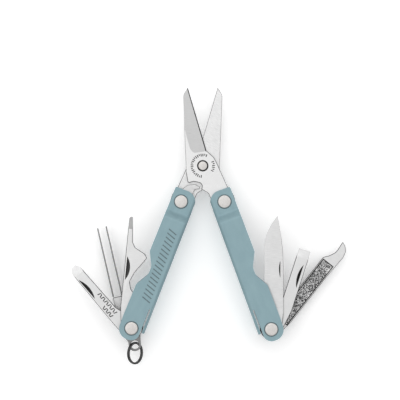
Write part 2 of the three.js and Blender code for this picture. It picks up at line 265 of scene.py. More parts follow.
def carve(mesh, cutters, operation="DIFFERENCE"):
    """The mesh less the cutters, or what it shares with them. The cutters are used up."""
    obj = bpy.data.objects.new("carved", mesh)
    tools = []
    for cutter in cutters:
        tool = bpy.data.objects.new("cutter", cutter)
        bpy.context.scene.collection.objects.link(tool)
        tools.append(tool)
        modifier = obj.modifiers.new("cut", "BOOLEAN")
        modifier.object = tool
        modifier.operation = operation
        modifier.solver = "MANIFOLD"
    result = evaluated_mesh(obj)
    for tool in tools:
        bpy.data.meshes.remove(tool.data)
    return result


RUN_IN = 0.4  # how far a wedge carries on, rising, before the line where it meets the face


def sloped(line, face, floor, reach, outline=None):
    """A wedge that grinds a face: it starts at the line from a to b and is at floor, reach to its left.
    An outline keeps it to a part of the face."""
    (ax, ay), (bx, by) = line
    along = Vector((bx - ax, by - ay, 0))
    lid = face + (PAST if face > floor else -PAST)
    rise = RUN_IN * (face - floor) / reach
    wedge = prism([(-RUN_IN, face + rise), (reach, floor), (reach, lid), (-RUN_IN, lid)], 0, along.length)
    along.normalize()
    left = Vector((-along.y, along.x, 0))
    basis = Matrix((left, Vector((0, 0, 1)), along)).transposed().to_4x4()
    wedge.transform(Matrix.Translation((ax, ay, 0)) @ basis)
    if outline is None:
        return wedge
    return carve(wedge, [prism(outline, -THROUGH, THROUGH)], "INTERSECT")


def ground(line, layer, thickness, reach):
    """Both faces of a layer ground down to an edge of that thickness."""
    centre = sum(layer) / 2
    return [
        sloped(line, layer[1], centre + thickness / 2, reach),
        sloped(line, layer[0], centre - thickness / 2, reach),
    ]


NICK_DEPTH = 0.55
NICK_SLACK = 0.02  # keeps the walls of a nick from meeting in a point
NICK_STEPS = 20


def crescent(n, start, end, sag, face):
    """A thumbnail nick: a lens-shaped hollow, deepest at its straight side and fading at its curved one."""
    half = (end - start) / 2
    radius = (half * half + sag * sag) / (2 * sag)
    spread = math.asin(half / radius)
    work = bmesh.new()
    deep = []
    rim = []
    for k in range(NICK_STEPS + 1):
        angle = spread * (1 - 2 * k / NICK_STEPS)
        along = (start + end) / 2 + radius * math.sin(angle)
        share = max(0.0, 1 - (math.sin(angle) * radius / half) ** 2)
        deep.append((n - NICK_SLACK, along, face - NICK_SLACK - NICK_DEPTH * share ** 0.6))
        rim.append((n + sag - radius + radius * math.cos(angle) + NICK_SLACK, along, face))
    lid = face + PAST
    rows = [
        [work.verts.new((x, y, lid)) for x, y, _ in deep],
        [work.verts.new(point) for point in deep],
        [work.verts.new(point) for point in rim],
        [work.verts.new((x, y, lid)) for x, y, _ in rim],
    ]
    for k in range(NICK_STEPS):
        for first, second in zip(rows, rows[1:] + rows[:1]):
            work.faces.new((first[k], first[k + 1], second[k + 1], second[k]))
    for k in (0, NICK_STEPS):
        work.faces.new([row[k] for row in rows])
    return written(work)


# ---------------------------------------------------------------- materials

# Colours as sRGB values of 0 to 255
TEAL_DEEP = (130, 158, 166)
TEAL_MIDDLE = (139, 167, 174)
TEAL_PALE = (150, 177, 183)
TEAL_WORN = (168, 192, 198)
# painted shade and painted highlight of the file's teeth
TOOTH_HOLLOW_SHADE = (58, 58, 60)
TOOTH_POINT_HIGHLIGHT = (236, 236, 236)
RIVET_DENT = (178, 175, 172)
RIVET_LOW = (202, 199, 196)
RIVET_HIGH = (218, 215, 212)


def nodes_of(name):
    """A new material, its node tree and its shader."""
    material = bpy.data.materials.new(name)
    material.use_nodes = True
    tree = material.node_tree
    shader = tree.nodes["Principled BSDF"]
    return material, tree, shader


def add(tree, kind, inputs=None, **settings):
    """A node with its settings, and its inputs set to values or linked to sockets."""
    node = tree.nodes.new(kind)
    for key, value in settings.items():
        setattr(node, key, value)
    for key, value in (inputs or {}).items():
        if isinstance(value, bpy.types.NodeSocket):
            tree.links.new(value, node.inputs[key])
        else:
            node.inputs[key].default_value = value
    return node


def linear(red, green, blue):
    """An sRGB colour of 0 to 255 as the shader's linear values."""
    return tuple(((c / 255 + 0.055) / 1.055) ** 2.4 for c in (red, green, blue)) + (1.0,)


def own_mm(tree):
    """A point of the piece in its own millimetres."""
    return add(tree, "ShaderNodeAttribute", attribute_name="own_mm").outputs["Vector"]


def stretched(tree, vector, x, y, z):
    return add(tree, "ShaderNodeMapping", {"Vector": vector, "Scale": (x, y, z)}).outputs["Vector"]


def noise(tree, vector, scale, detail, roughness):
    inputs = {"Vector": vector, "Scale": scale, "Detail": detail, "Roughness": roughness}
    return add(tree, "ShaderNodeTexNoise", inputs).outputs["Fac"]


def remap(tree, value, low, high, to_low, to_high):
    """A value from low to high as one from to_low to to_high, clamped."""
    inputs = {"Value": value, "From Min": low, "From Max": high, "To Min": to_low, "To Max": to_high}
    return add(tree, "ShaderNodeMapRange", inputs).outputs["Result"]


def blend(tree, factor, first, second):
    """The first colour where the factor is 0 and the second where it is 1."""
    node = add(tree, "ShaderNodeMix", data_type="RGBA")
    for socket, value in ((node.inputs[0], factor), (node.inputs[6], first), (node.inputs[7], second)):
        if isinstance(value, bpy.types.NodeSocket):
            tree.links.new(value, socket)
        else:
            socket.default_value = value
    return node.outputs[2]


def edge_mask(tree, radius, gain):
    """1 on worn edges, where the surface turns within the radius."""
    bevel = add(tree, "ShaderNodeBevel", {"Radius": radius}, samples=4).outputs["Normal"]
    flat = add(tree, "ShaderNodeNewGeometry").outputs["Normal"]
    dot = add(tree, "ShaderNodeVectorMath", operation="DOT_PRODUCT")
    tree.links.new(bevel, dot.inputs[0])
    tree.links.new(flat, dot.inputs[1])
    return remap(tree, dot.outputs["Value"], 1.0, 1.0 - gain, 0.0, 1.0)


def bump(tree, shader, height, distance, strength):
    inputs = {"Height": height, "Distance": distance, "Strength": strength}
    normal = add(tree, "ShaderNodeBump", inputs).outputs["Normal"]
    tree.links.new(normal, shader.inputs["Normal"])


def coated_steel(name, painted_shade_scale=1.0):
    """Satin grey-teal coating with a fine tooth, soft mottling and edges rubbed a little lighter."""
    material, tree, shader = nodes_of(name)

    # the scale darkens every colour of the coat: 1 gives the coat itself, and lower values give the painted
    # shade of its recesses and of the channel's inside
    def teal(colour):
        return linear(*(channel * painted_shade_scale for channel in colour))

    fine = noise(tree, own_mm(tree), 9.0, 3.0, 0.6)
    broad = noise(tree, stretched(tree, own_mm(tree), 1, 0.35, 1), 0.35, 4.0, 0.55)
    base = blend(tree, remap(tree, broad, 0.3, 0.7, 0, 1), teal(TEAL_DEEP), teal(TEAL_MIDDLE))
    base = blend(tree, remap(tree, fine, 0.35, 0.65, 0, 0.35), base, teal(TEAL_PALE))
    worn = blend(tree, edge_mask(tree, 0.22 * MM, 0.5), base, teal(TEAL_WORN))
    tree.links.new(worn, shader.inputs["Base Color"])
    tree.links.new(remap(tree, fine, 0.3, 0.7, 0.42, 0.54), shader.inputs["Roughness"])
    shader.inputs["Metallic"].default_value = 0.25
    shader.inputs["Specular IOR Level"].default_value = 0.45
    bump(tree, shader, noise(tree, own_mm(tree), 14.0, 3.0, 0.7), 0.02 * MM, 0.5)
    return material


def ground_steel(name, tone, grain=(1.0, 0.05), roughness=0.3, angle=0.0, scratch=0.5, shade=0.88):
    """Stainless steel with fine and broad grind lines along one direction, and bright worn edges."""
    material, tree, shader = nodes_of(name)
    rotation = {"Vector": own_mm(tree), "Angle": math.radians(angle)}
    turned = add(tree, "ShaderNodeVectorRotate", rotation).outputs["Vector"]
    across, along = grain
    lines = noise(tree, stretched(tree, turned, across, along, 0), 9.0, 3.0, 0.6)
    coarse = noise(tree, stretched(tree, turned, across * 0.3, along * 0.6, 0), 5.0, 3.0, 0.6)
    cloud = noise(tree, own_mm(tree), 0.25, 3.0, 0.5)
    light = linear(*(tone,) * 3)
    dark = linear(*(tone * shade,) * 3)
    base = blend(tree, remap(tree, lines, 0.3, 0.7, 0.0, 1.0), dark, light)
    base = blend(tree, remap(tree, coarse, 0.25, 0.45, 0.35, 0.0), base, dark)
    base = blend(tree, remap(tree, cloud, 0.35, 0.65, 0.0, 0.25), base, dark)
    worn = linear(tone + 12, tone + 12, tone + 11)
    base = blend(tree, edge_mask(tree, 0.1 * MM, 0.6), base, worn)
    tree.links.new(base, shader.inputs["Base Color"])
    rough = remap(tree, lines, 0.25, 0.75, roughness - 0.07, roughness + 0.1)
    tree.links.new(rough, shader.inputs["Roughness"])
    shader.inputs["Metallic"].default_value = 1.0
    bump(tree, shader, lines, 0.015 * MM, scratch)
    return material


def file_steel():
    """Coarse teeth, cell by cell: painted shade in the hollows and painted highlights on the points, with a
    bump that follows them.
    """
    material, tree, shader = nodes_of("file_steel")
    local = stretched(tree, own_mm(tree), 1, 1, 0)
    cells = add(tree, "ShaderNodeTexVoronoi", {"Vector": local, "Scale": 2.7, "Randomness": 1.0})
    value = add(tree, "ShaderNodeSeparateColor", {"Color": cells.outputs["Color"]}).outputs[0]
    grit = noise(tree, local, 4.5, 3.0, 0.7)
    mixed = add(tree, "ShaderNodeMath", {0: value, 1: grit}, operation="ADD").outputs[0]
    level = remap(tree, mixed, 0.7, 1.15, 0.0, 1.0)
    # painted shade in the teeth's hollows and painted highlights on their points
    base = blend(tree, level, linear(*TOOTH_HOLLOW_SHADE), linear(*TOOTH_POINT_HIGHLIGHT))
    tree.links.new(base, shader.inputs["Base Color"])
    tree.links.new(remap(tree, grit, 0.3, 0.7, 0.55, 0.32), shader.inputs["Roughness"])
    shader.inputs["Metallic"].default_value = 1.0
    bump(tree, shader, level, 0.1 * MM, 0.7)
    return material


def rivet_steel():
    """Peened and buffed rivet heads: rings left by the tool and a few dents."""
    material, tree, shader = nodes_of("rivet_steel")
    flat = stretched(tree, own_mm(tree), 1, 1, 0)
    radius = add(tree, "ShaderNodeVectorMath", {0: flat}, operation="LENGTH").outputs["Value"]
    rings = add(tree, "ShaderNodeTexNoise", {"W": radius, "Scale": 9.0, "Detail": 3.0}, noise_dimensions="1D")
    rings = rings.outputs["Fac"]
    dents = noise(tree, own_mm(tree), 1.1, 3.0, 0.6)
    base = blend(tree, remap(tree, rings, 0.3, 0.7, 0, 1), linear(*RIVET_LOW), linear(*RIVET_HIGH))
    base = blend(tree, remap(tree, dents, 0.35, 0.6, 0.3, 0), base, linear(*RIVET_DENT))
    tree.links.new(base, shader.inputs["Base Color"])
    tree.links.new(remap(tree, dents, 0.3, 0.7, 0.4, 0.26), shader.inputs["Roughness"])
    shader.inputs["Metallic"].default_value = 1.0
    bump(tree, shader, rings, 0.02 * MM, 0.5)
    return material


MATERIALS = {
    "coated": coated_steel("coated_handle"),
    # painted shade: a darker copy of the coat on the floors of the rivet seats and pressed bars
    "recess_shade": coated_steel("coated_recess_shade", 0.72),
    # painted shade: a darker copy of the coat on the channel's inner faces
    "inside": coated_steel("coated_inside_shade", 0.7),
    "blade": ground_steel("blade_steel", 236, angle=58, roughness=0.36, shade=0.86),
    # partly painted shade: the grind has its own cross grain, and its darker tone is painted shade of its
    # tilted faces
    "bevel": ground_steel("bevel_shade_steel", 200, angle=90, roughness=0.34, shade=0.93, scratch=0.25),
    # painted shade: a darker tone on the opener's sloped ground tip
    "tip_shade": ground_steel("tip_shade_steel", 176, roughness=0.34),
    "tang": ground_steel("tang_steel", 228, angle=35, roughness=0.38, shade=0.94),
    "tool": ground_steel("tool_steel", 222, angle=90, roughness=0.36, shade=0.93),
    "knife": ground_steel("knife_steel", 224, grain=(0.04, 1.3), roughness=0.36, shade=0.87),
    "spring": ground_steel("spring_steel", 214, roughness=0.35, shade=0.92),
    # painted shade: darker steel for the side walls of the plates
    "wall": ground_steel("wall_shade_steel", 172, roughness=0.4, shade=0.9),
    # darker steel: on the tweezers' arms it is painted shade of strips seen edge-on; the bail uses the same
    # tone
    "arm": ground_steel("arm_shade_steel", 140, shade=0.9),
    # painted shade: near-black steel for the rounded edges of the plates, as a dark outline
    "edge": ground_steel("edge_shade_steel", 62, roughness=0.35, shade=0.8),
    # painted shade: near-black steel on the faces of the thumbnail nicks, pressed ticks and marks, the file's
    # pad floors, the scissor pivot's well and the handles' slits
    "nick": ground_steel("recess_shade_steel", 66, shade=0.75),
    "file": file_steel(),
    "rivet": rivet_steel(),
    "ring": ground_steel("ring_steel", 92, roughness=0.16, shade=0.7),
}
RIM_SHADED = ("blade", "tang", "tool", "knife", "spring")  # their side walls and rounded edges get darker steel as painted shade, for the dark outline that light leaves there
UPRIGHT = 0.2  # a face whose normal's z is below this is a wall
LEVEL = 0.985  # and above this it is flat
NEAR = 0.02  # slack of the tests that pick faces by their height
SMOOTH_LIMIT = math.radians(50)
BEVEL_LIMIT = math.radians(40)


# ---------------------------------------------------------------- placing pieces


def piece(name, mesh, where, material, body, replaced=(), bevel=0.0, also=()):
    """Places a mesh made in its own millimetres: keeps those as an attribute for the grain, moves it to the
    frame's metres, and hangs it on its CAD body. also gives faces other materials, as (material, test)."""
    own = mesh.attributes.new("own_mm", "FLOAT_VECTOR", "POINT")
    for index, vertex in enumerate(mesh.vertices):
        own.data[index].vector = vertex.co
    mesh.materials.clear()
    mesh.materials.append(MATERIALS[material])
    if material in RIM_SHADED:
        # painted shade on the side walls and rounded edges
        also = [
            ("wall", lambda centre, normal: abs(normal.z) < UPRIGHT),
            ("edge", lambda centre, normal: UPRIGHT <= abs(normal.z) < LEVEL),
            *also,
        ]
    for index, (extra, test) in enumerate(also):
        mesh.materials.append(MATERIALS[extra])
        for face in mesh.polygons:
            if test(face.center, face.normal):
                face.material_index = index + 1
    mesh.transform(where)
    if where.determinant() < 0:
        mesh.flip_normals()
    mesh.shade_smooth()
    mesh.set_sharp_from_angle(angle=SMOOTH_LIMIT)
    obj = bpy.data.objects.new(name, mesh)
    bpy.context.scene.collection.objects.link(obj)
    if bevel:
        rounding = obj.modifiers.new("rounding", "BEVEL")
        rounding.width = bevel * MM
        rounding.segments = 2
        rounding.limit_method = "ANGLE"
        rounding.angle_limit = BEVEL_LIMIT
        rounding.harden_normals = True
    obj.modifiers.new("flats", "WEIGHTED_NORMAL").keep_sharp = True
    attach(obj, body)
    if replaced:
        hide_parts(*replaced)


# ---------------------------------------------------------------- scissors

# Outlines are the front half's, with the pivot at 0, 0: the blade runs up and left, the tang down and right
BLADE_TIP = (-5.96, 31.3)
BLADE_HEEL = (1.5, 6.0)
SPRING_SEAT = [(-3.6, -6.2, 1.5), (-0.8, -6.9, 0.6), (-0.2, -8.0, 0.5), (-0.5, -9.6, 0.4)]
PLAIN_SHOULDER = [(-3.6, -7.6, 1.5)]
GRIND_REACH = 6.06  # width of the broad grind, and how far it has dropped at the cutting edge
GRIND_DROP = 0.7
EDGE_REACH = 0.42  # the same for the narrow one
EDGE_DROP = 1.32
GRIND_RUN = 4  # how far both run past the blade's tip and heel
GRIND_AREA = [
    (-9.5, 34), (-9.5, 17), (-7.2, 15.2, 1), (-6.3, 11.1, 6), (-5.0, 6.6, 2.5), (-3.6, 5.1, 1.2),
    (1.8, 5.9, 0.5), (5, 6.4), (5, 34),
]
WELL = 2.3
WELL_DEPTH = 0.5
PIVOT_HEAD = 1.75
PIVOT_NECK = 1.4


def beside_edge(distance):
    """The line at a distance inside a blade's cutting edge, running past its tip and its heel."""
    tip, heel = Vector(BLADE_TIP), Vector(BLADE_HEEL)
    along = (heel - tip).normalized()
    aside = Vector((along.y, -along.x)) * distance
    return (tip + aside - along * GRIND_RUN, heel + aside + along * GRIND_RUN)


def blade_grinds(face, outward):
    """The broad flat grind of a blade, and the narrow steep one along its cutting edge."""
    brink = face - outward * GRIND_DROP * (1 - EDGE_REACH / GRIND_REACH)
    area = rounded(GRIND_AREA)
    return [
        sloped(beside_edge(GRIND_REACH), face, face - outward * GRIND_DROP, GRIND_REACH, area),
        sloped(beside_edge(EDGE_REACH), brink, face - outward * EDGE_DROP, EDGE_REACH, area),
    ]


MARK_RADII = (3.75, 4.85)
MARK_ARCS = [(70, 262, 21), (-28, 22, 6)]  # start and end in degrees, and how many ticks
MARK_HALF = 0.19
MARK_DEPTH = 0.12
MARK_SHORTER = 0.35  # every third tick starts this much further out


def pivot_marks(face, outward):
    """Short plain ticks in two arcs round the pivot."""
    near, far = MARK_RADII
    low, high = sorted((face - outward * MARK_DEPTH, face + outward * PAST))
    marks = []
    for start, end, count in MARK_ARCS:
        for k in range(count):
            angle = math.radians(start + (end - start) * k / (count - 1))
            inner = near + MARK_SHORTER * (k % 3 == 1)
            tick = block(inner, far, -MARK_HALF, MARK_HALF, low, high)
            tick.transform(Matrix.Rotation(angle, 4, "Z"))
            marks.append(tick)
    return marks


def scissor_half(name, shoulder, outward, body, material):
    """One half: outward is 1 for the front one, and -1 for the back one, which is mirrored."""
    corners = [
        (*BLADE_TIP, 0.12), (-7.85, 28.4, 3.2), (-7.3, 14.4, 20), (-6.6, -3.0, 5), (-5.9, -6.95, 0.7),
        *shoulder, (0.3, -9.8, 1.5), (2.3, -11.0, 2), (3.1, -13.1, 2), (4.2, -14.4, 2), (6.2, -19.8, 4.1),
        (14.2, -16.9, 4.1), (12.0, -11.0, 3), (9.95, -8.4, 3), (5.5, 1.4, 5), (4.3, 3.5, 2),
        (*BLADE_HEEL, 0.3),
    ]
    ear = (EARS["right"] - PIVOT) / MM
    holes = (circle(HOLE), circle(HOLE, ear.x, ear.y))
    low, high = sorted((outward * BLADE_GAP, outward * BLADE_FACE))
    face = outward * BLADE_FACE
    well = prism(circle(WELL), *sorted((face - outward * WELL_DEPTH, face + outward * PAST)))
    mesh = slab([rounded(corners), *holes], low, high, EDGE)
    mesh = carve(mesh, [well, *pivot_marks(face, outward)])
    for grind in blade_grinds(face, outward):
        mesh = carve(mesh, [grind])

    # the grind's tilted faces, which get the darker bevel steel as painted shade
    def is_bevel(centre, normal):
        return centre.y > BLADE_HEEL[1] - 1 and 0.95 < abs(normal.z) < 0.999

    # the marks' faces and the pivot's well get near-black steel as painted shade
    def in_marks(centre, normal):
        near_pivot = centre.xy.length < MARK_RADII[1] + 0.1 and abs(normal.z) > 0.9
        return near_pivot and 0.05 < abs(face - centre.z) < WELL_DEPTH + 0.1

    where = place(PIVOT, 0, outward)
    piece(name, mesh, where, material, body, [name], also=[("bevel", is_bevel), ("nick", in_marks)])


def pivot_rivet():
    """A flush rivet with a head at each face of the scissors, and a thinner neck between them."""
    top = BLADE_FACE + 0.1
    half = [
        (PIVOT_NECK, 1.0), (PIVOT_HEAD - 0.13, 1.15), (PIVOT_HEAD, 1.3), (PIVOT_HEAD, top - 0.12),
        (PIVOT_HEAD - 0.09, top - 0.03), (PIVOT_HEAD - 0.25, top), (0, top),
    ]
    node = "scissor_pivot_rivet"
    piece(node, lathe(mirrored(half)), place(PIVOT, 0), "rivet", "scissor_front", [node])


def spring_lever():
    corners = [
        (-11.6, -10.5, 3), (-8.2, -9.3, 2), (-6.0, -7.7, 2), (-3.0, -7.4, 2), (-1.2, -8.4, 0.3),
        (-1.3, -9.2, 0.3), (-3.2, -9.4, 0.5), (-4.6, -12.6, 1.5), (-6.3, -19.6, 4), (-14.0, -16.6, 4),
    ]
    ear = (EARS["left"] - PIVOT) / MM
    mesh = plate(corners, FRONT_TANG, [(HOLE, ear.x, ear.y)])
    piece("scissor_spring", mesh, place(PIVOT, 0), "spring", "spring_lever", ["scissor_spring"])


scissor_half("scissor_blade_front", SPRING_SEAT, 1, "scissor_front", "tang")
scissor_half("scissor_blade_back", PLAIN_SHOULDER, -1, "scissor_back", "blade")
pivot_rivet()
spring_lever()


# ---------------------------------------------------------------- handles

BEND_STEPS = 8
JOGGLE_STEPS = 10


def half_width_at(v):
    """Half the channel's outside width, which swells smoothly along the joggle."""
    start, end = JOGGLE
    return EAR_HALF + (BODY_HALF - EAR_HALF) * eased((v - start) / (end - start))


def channel_section(half_width):
    """The folded channel's section at one station, as a closed ring of (u, z)."""
    ring = [(RIM_EDGE - PAST, half_width)]

    def bend(radius, sign, start, end):
        for k in range(BEND_STEPS + 1):
            angle = math.radians(start + (end - start) * k / BEND_STEPS)
            z = sign * (half_width - BEND) + radius * math.sin(angle)
            ring.append((WEB_OUT - BEND + radius * math.cos(angle), z))

    bend(BEND, 1, 90, 0)
    bend(BEND, -1, 0, -90)
    ring += [(RIM_EDGE - PAST, -half_width), (RIM_EDGE - PAST, WALL - half_width)]
    bend(BEND - WALL, -1, -90, 0)
    bend(BEND - WALL, 1, 0, 90)
    ring.append((RIM_EDGE - PAST, half_width - WALL))
    return ring


def channel():
    """The channel before it is trimmed: narrow ears, a smooth joggle, and the wide body."""
    start, end = JOGGLE
    stations = [start + (end - start) * k / JOGGLE_STEPS for k in range(JOGGLE_STEPS + 1)]
    stations = [TOP_EDGE - PAST, *stations, FOOT_EDGE + PAST]
    work = bmesh.new()
    rings = [[work.verts.new((u, v, z)) for u, z in channel_section(half_width_at(v))] for v in stations]
    for first, second in zip(rings, rings[1:]):
        for k in range(len(first)):
            after = (k + 1) % len(first)
            work.faces.new((first[k], first[after], second[after], second[k]))
    work.faces.new(rings[0])
    work.faces.new(rings[-1])
    return written(work)


SIDE_WALL = [
    (-4.1, TOP_EDGE, 0.6), (5.6, TOP_EDGE, 4.6), (5.6, TAB_END, 0.2), (3.9, TAB_END),
    (3.9, FOOT_EDGE, 3.6), (-4.7, FOOT_EDGE, 4.4), (-4.9, 50, 6), (-4.65, 37, 1), (-1.55, 31.6, 4),
    (-1.55, 28.4, 4), (-4.4, 22.7, 1),
]
SEAT = 2.9
SEAT_DEPTH = 0.2
BAR_COUNT = 18
BAR_START = 11.5
BAR_PITCH = 1.7
BAR_ENDS = (-0.6, 3.2)
BAR_LEAN = 1.3  # how much further along the handle a bar's web end is
BAR_WIDTH = 0.55
BAR_DEPTH = 0.14
BAR_CORNER = 0.2
SLIT_PAST = 2  # how far the slit's cutter runs past the foot


def grip_bars():
    """A plain row of slanted bars pressed into the front wall."""
    near, far = BAR_ENDS
    bars = []
    for k in range(BAR_COUNT):
        v = BAR_START + k * BAR_PITCH
        slanted = [(near, v), (far, v + BAR_LEAN), (far, v + BAR_LEAN + BAR_WIDTH), (near, v + BAR_WIDTH)]
        outline = rounded([(*corner, BAR_CORNER) for corner in slanted], COARSE_STEP)
        bars.append(prism(outline, BODY_HALF - BAR_DEPTH, BODY_HALF + PAST))
    return bars


def in_recess(centre, normal):
    """True on the floors of the rivet seats and of the pressed bars, which get a darker copy of the coat as
    painted shade.
    """
    if abs(normal.z) < 0.9 or abs(centre.x) > 3.4:
        return False
    face = EAR_HALF if centre.y < JOGGLE[0] else BODY_HALF
    return BAR_DEPTH - NEAR < face - abs(centre.z) < SEAT_DEPTH + NEAR


def in_channel(centre, normal):
    """True on the inner faces of the folded channel, which get a darker copy of the coat as painted shade."""
    half = half_width_at(centre.y) - WALL + 3 * NEAR
    return abs(centre.z) < half and centre.x < WEB_OUT - WALL + 3 * NEAR and abs(normal.y) < 0.9


def in_slit(centre, normal):
    """True on the sheared sides of the back spring's slit, which get near-black steel as painted shade."""
    near, far, start = SLIT
    along = start - 0.1 < centre.y < FOOT_EDGE - 1.5
    return along and near - 0.05 < centre.x < far + 0.05 and abs(normal.z) < 0.3


def handle(name):
    """A handle: the channel trimmed to its side wall, slit, and recessed for its rivets and its grip."""
    slit_near, slit_far, slit_start = SLIT
    holes = [circle(HOLE), circle(HOLE, 0, SPAN)]
    trimmed = carve(channel(), [slab([rounded(SIDE_WALL), *holes], -THROUGH, THROUGH, 0.01)], "INTERSECT")
    ear_gap = EAR_HALF - WALL
    cutters = [
        block(slit_near, slit_far, slit_start, FOOT_EDGE + SLIT_PAST, -THROUGH, THROUGH),
        block(EAR_OPENING, THROUGH, TOP_EDGE - PAST, WEB_START, -ear_gap, ear_gap),
    ]
    for v, half in ((0, EAR_HALF), (SPAN, BODY_HALF)):
        cutters.append(prism(circle(SEAT, 0, v), half - SEAT_DEPTH, half + PAST))
        cutters.append(prism(circle(SEAT, 0, v), -half - PAST, SEAT_DEPTH - half))
    if name == "left":
        cutters += grip_bars()
    mesh = carve(trimmed, cutters)
    node = name + "_handle"
    # the channel's inside and the recess floors get darker copies of the coat, and the slit's sides
    # near-black steel, all as painted shade
    also = [("inside", in_channel), ("recess_shade", in_recess), ("nick", in_slit)]
    piece(node, mesh, handle_place(name), "coated", node, [node], SHEET_ROUNDING, also)


def rivet(node, grip, where, body):
    """A peened rivet: a shaft, and at each end a flat head with a rounded rim, down in its seat."""
    seat = grip - SEAT_DEPTH + 0.02
    top = grip + HEAD_GAP + HEAD_RISE
    half = [
        (SHAFT, seat), (RIVET_HEAD, seat), (RIVET_HEAD, top - 0.26), (RIVET_HEAD - 0.07, top - 0.12),
        (RIVET_HEAD - 0.22, top - 0.04), (RIVET_HEAD - 0.45, top), (0, top),
    ]
    piece(node, lathe(mirrored(half)), where, "rivet", body, [node])


for name in ("left", "right"):
    handle(name)
    rivet(name + "_scissor_rivet", EAR_HALF, place(EARS[name], 0), name + "_handle")
    rivet(name + "_tool_rivet", BODY_HALF, place(ENDS[name], 0), name + "_handle")


# ---------------------------------------------------------------- tools

# Outlines lie in n, s: n runs towards the web when stowed, s along the tool from its rivet
TANG_FOOT = [(4.3, -4.3, 4.2), (-4.3, -4.3, 4.2)]


def is_nick(n, start, end, sag, face):
    """A test for the faces inside a nick."""
    return lambda centre, normal: (
        n - 0.1 < centre.x < n + sag + 0.1
        and start - 0.1 < centre.y < end + 0.1
        and face - 0.8 < centre.z < face - NEAR
        and abs(normal.z) < LEVEL
    )


def is_ground(start):
    """A test for the ground faces of a tool beyond a place along it."""
    return lambda centre, normal: centre.y > start and 0.8 < abs(normal.z) < 0.9995


def tool(node, corners, layer, nick, grind, joint, body, end, tip="tool", extras=(), marks=()):
    """A flat tool on a handle's end rivet. nick is (n, start, end, sag), grind is (line, edge thickness,
    reach), tip is the steel of the ground faces, and extras are more cutters, with marks as their tests."""
    cutters = []
    also = list(marks)
    if nick:
        cutters.append(crescent(*nick, layer[1]))
        # the nick's faces get near-black steel as painted shade
        also.insert(0, ("nick", is_nick(*nick, layer[1])))
    if grind:
        line, thickness, reach = grind
        cutters += ground(line, layer, thickness, reach)
        also.insert(0, (tip, is_ground(min(y for _, y in line))))
    mesh = carve(plate(corners, layer, edge=EDGE), [*cutters, *extras])
    piece(node, mesh, tool_place(end, joint), "tool", body, [node], also=also)


tool(
    "bottle_opener",
    [
        (-5.2, 44.1, 1.0), (-3.8, 44.1, 0.4), (-2.9, 34.1, 1), (-1.8, 32.1, 1), (2.3, 29.9, 1),
        (3.4, 28.3, 0.6), (-1.1, 21.9, 1.5), (-2.6, 18.2, 1.5), (-1.8, 15.4, 2), (2.2, 11.0, 2),
        (4.3, 6, 2), *TANG_FOOT, (-4.5, 2, 3), (-5.2, 8, 4),
    ],
    OUTER, (-4.5, 18.9, 28.2, 1.55), (((-7, 39.2), (-1, 39.2)), 0.7, 5.5),
    # the ground tip gets the darker steel as painted shade
    "bottle_opener_fold", "bottle_opener", "left", tip="tip_shade",
)

TICK_ROWS = [(-0.9, 8.6, 18.4, 11), (-3.0, 8.6, 13.2, 6)]  # n, start, end, and how many ticks
TICK_REACH = 0.72
TICK_WIDTH = 0.42
TICK_DEPTH = 0.12
TICK_LEAN = 0.25  # ticks lean one way and the other in turn


def tick_rows(face):
    """Two rows of plain slanted ticks pressed into a tool's face."""
    ticks = []
    for n, start, end, count in TICK_ROWS:
        for k in range(count):
            s = start + (end - start) * k / (count - 1)
            lean = TICK_LEAN if k % 2 else -TICK_LEAN
            corners = [
                (n - TICK_REACH, s - lean), (n + TICK_REACH, s + lean),
                (n + TICK_REACH, s + lean + TICK_WIDTH), (n - TICK_REACH, s - lean + TICK_WIDTH),
            ]
            ticks.append(prism(corners, face - TICK_DEPTH, face + PAST))
    return ticks


def in_ticks(centre, normal):
    """True on the floors of the ticks."""
    return normal.z > 0.9 and abs(INNER[1] - TICK_DEPTH - centre.z) < NEAR


tool(
    "large_screwdriver",
    [
        (-3.9, 31.9, 0.5), (-2.5, 33.5, 0.3), (-0.7, 33.6, 0.3), (0.4, 31.4, 0.5), (0.5, 10.2, 1),
        (1.3, 7.8, 1), (4.3, 5, 2), *TANG_FOOT, (-4.5, 6, 3),
    ],
    INNER, (-3.5, 18.4, 28.2, 1.25), (((-6, 29.9), (2, 29.9)), 0.6, 4.5),
    "large_screwdriver_fold", "large_screwdriver", "left", tip="blade",
    # the ticks' floors get near-black steel as painted shade
    extras=tick_rows(INNER[1]), marks=[("nick", in_ticks)],
)
tool(
    "medium_screwdriver",
    [
        (-5.75, 34.1, 0.3), (-0.85, 34.1, 0.3), (-0.75, 11.5, 2), (4.3, 5.5, 2), *TANG_FOOT, (-4.6, 3, 3),
        (-5.6, 9, 4),
    ],
    INNER, (-4.6, 18.6, 28.2, 1.1), (((-8, 30.4), (2, 30.4)), 0.6, 4.2),
    "medium_screwdriver_fold", "medium_screwdriver", "right",
)
tool(
    "knife_blade",
    [
        (-2.6, 45.2, 0.15), (-3.6, 39.3, 6), (-4.55, 32.6, 9), (-4.84, 25, 9), (-4.84, 6, 3), (-4.3, 1, 3),
        *reversed(TANG_FOOT), (3.9, 2.4, 1.2), (2.2, 4.9, 0.5), (1.7, 5.9, 0.4), (2.6, 6.8, 0.5),
        (2.6, 35.0, 8), (1.6, 38.7, 6), (-0.3, 42.0, 6),
    ],
    OUTER, (-3.6, 20.4, 27.3, 0.65), (((-4.5, 47), (-4.5, 8.2)), 0.2, 7.2),
    "knife_fold", "knife", "right", tip="knife",
)

PAD = (-4.62, 0.72, 4.8, 35.0)  # recess on each face of the file: its sides in n, its ends in s
PAD_GAP = 0.46  # between the recess's edge and the teeth
PAD_DEPTH = 0.15
PAD_THICKNESS = 0.3
TOOTH_PITCH = 0.42
TOOTH_TOP = -0.01  # height of the tallest tooth, from the tool's face
TOOTH_SPREAD = 0.14  # how much lower the lowest tooth is
TOOTH_VALLEY = -0.19
BORDER_TOP = -0.03


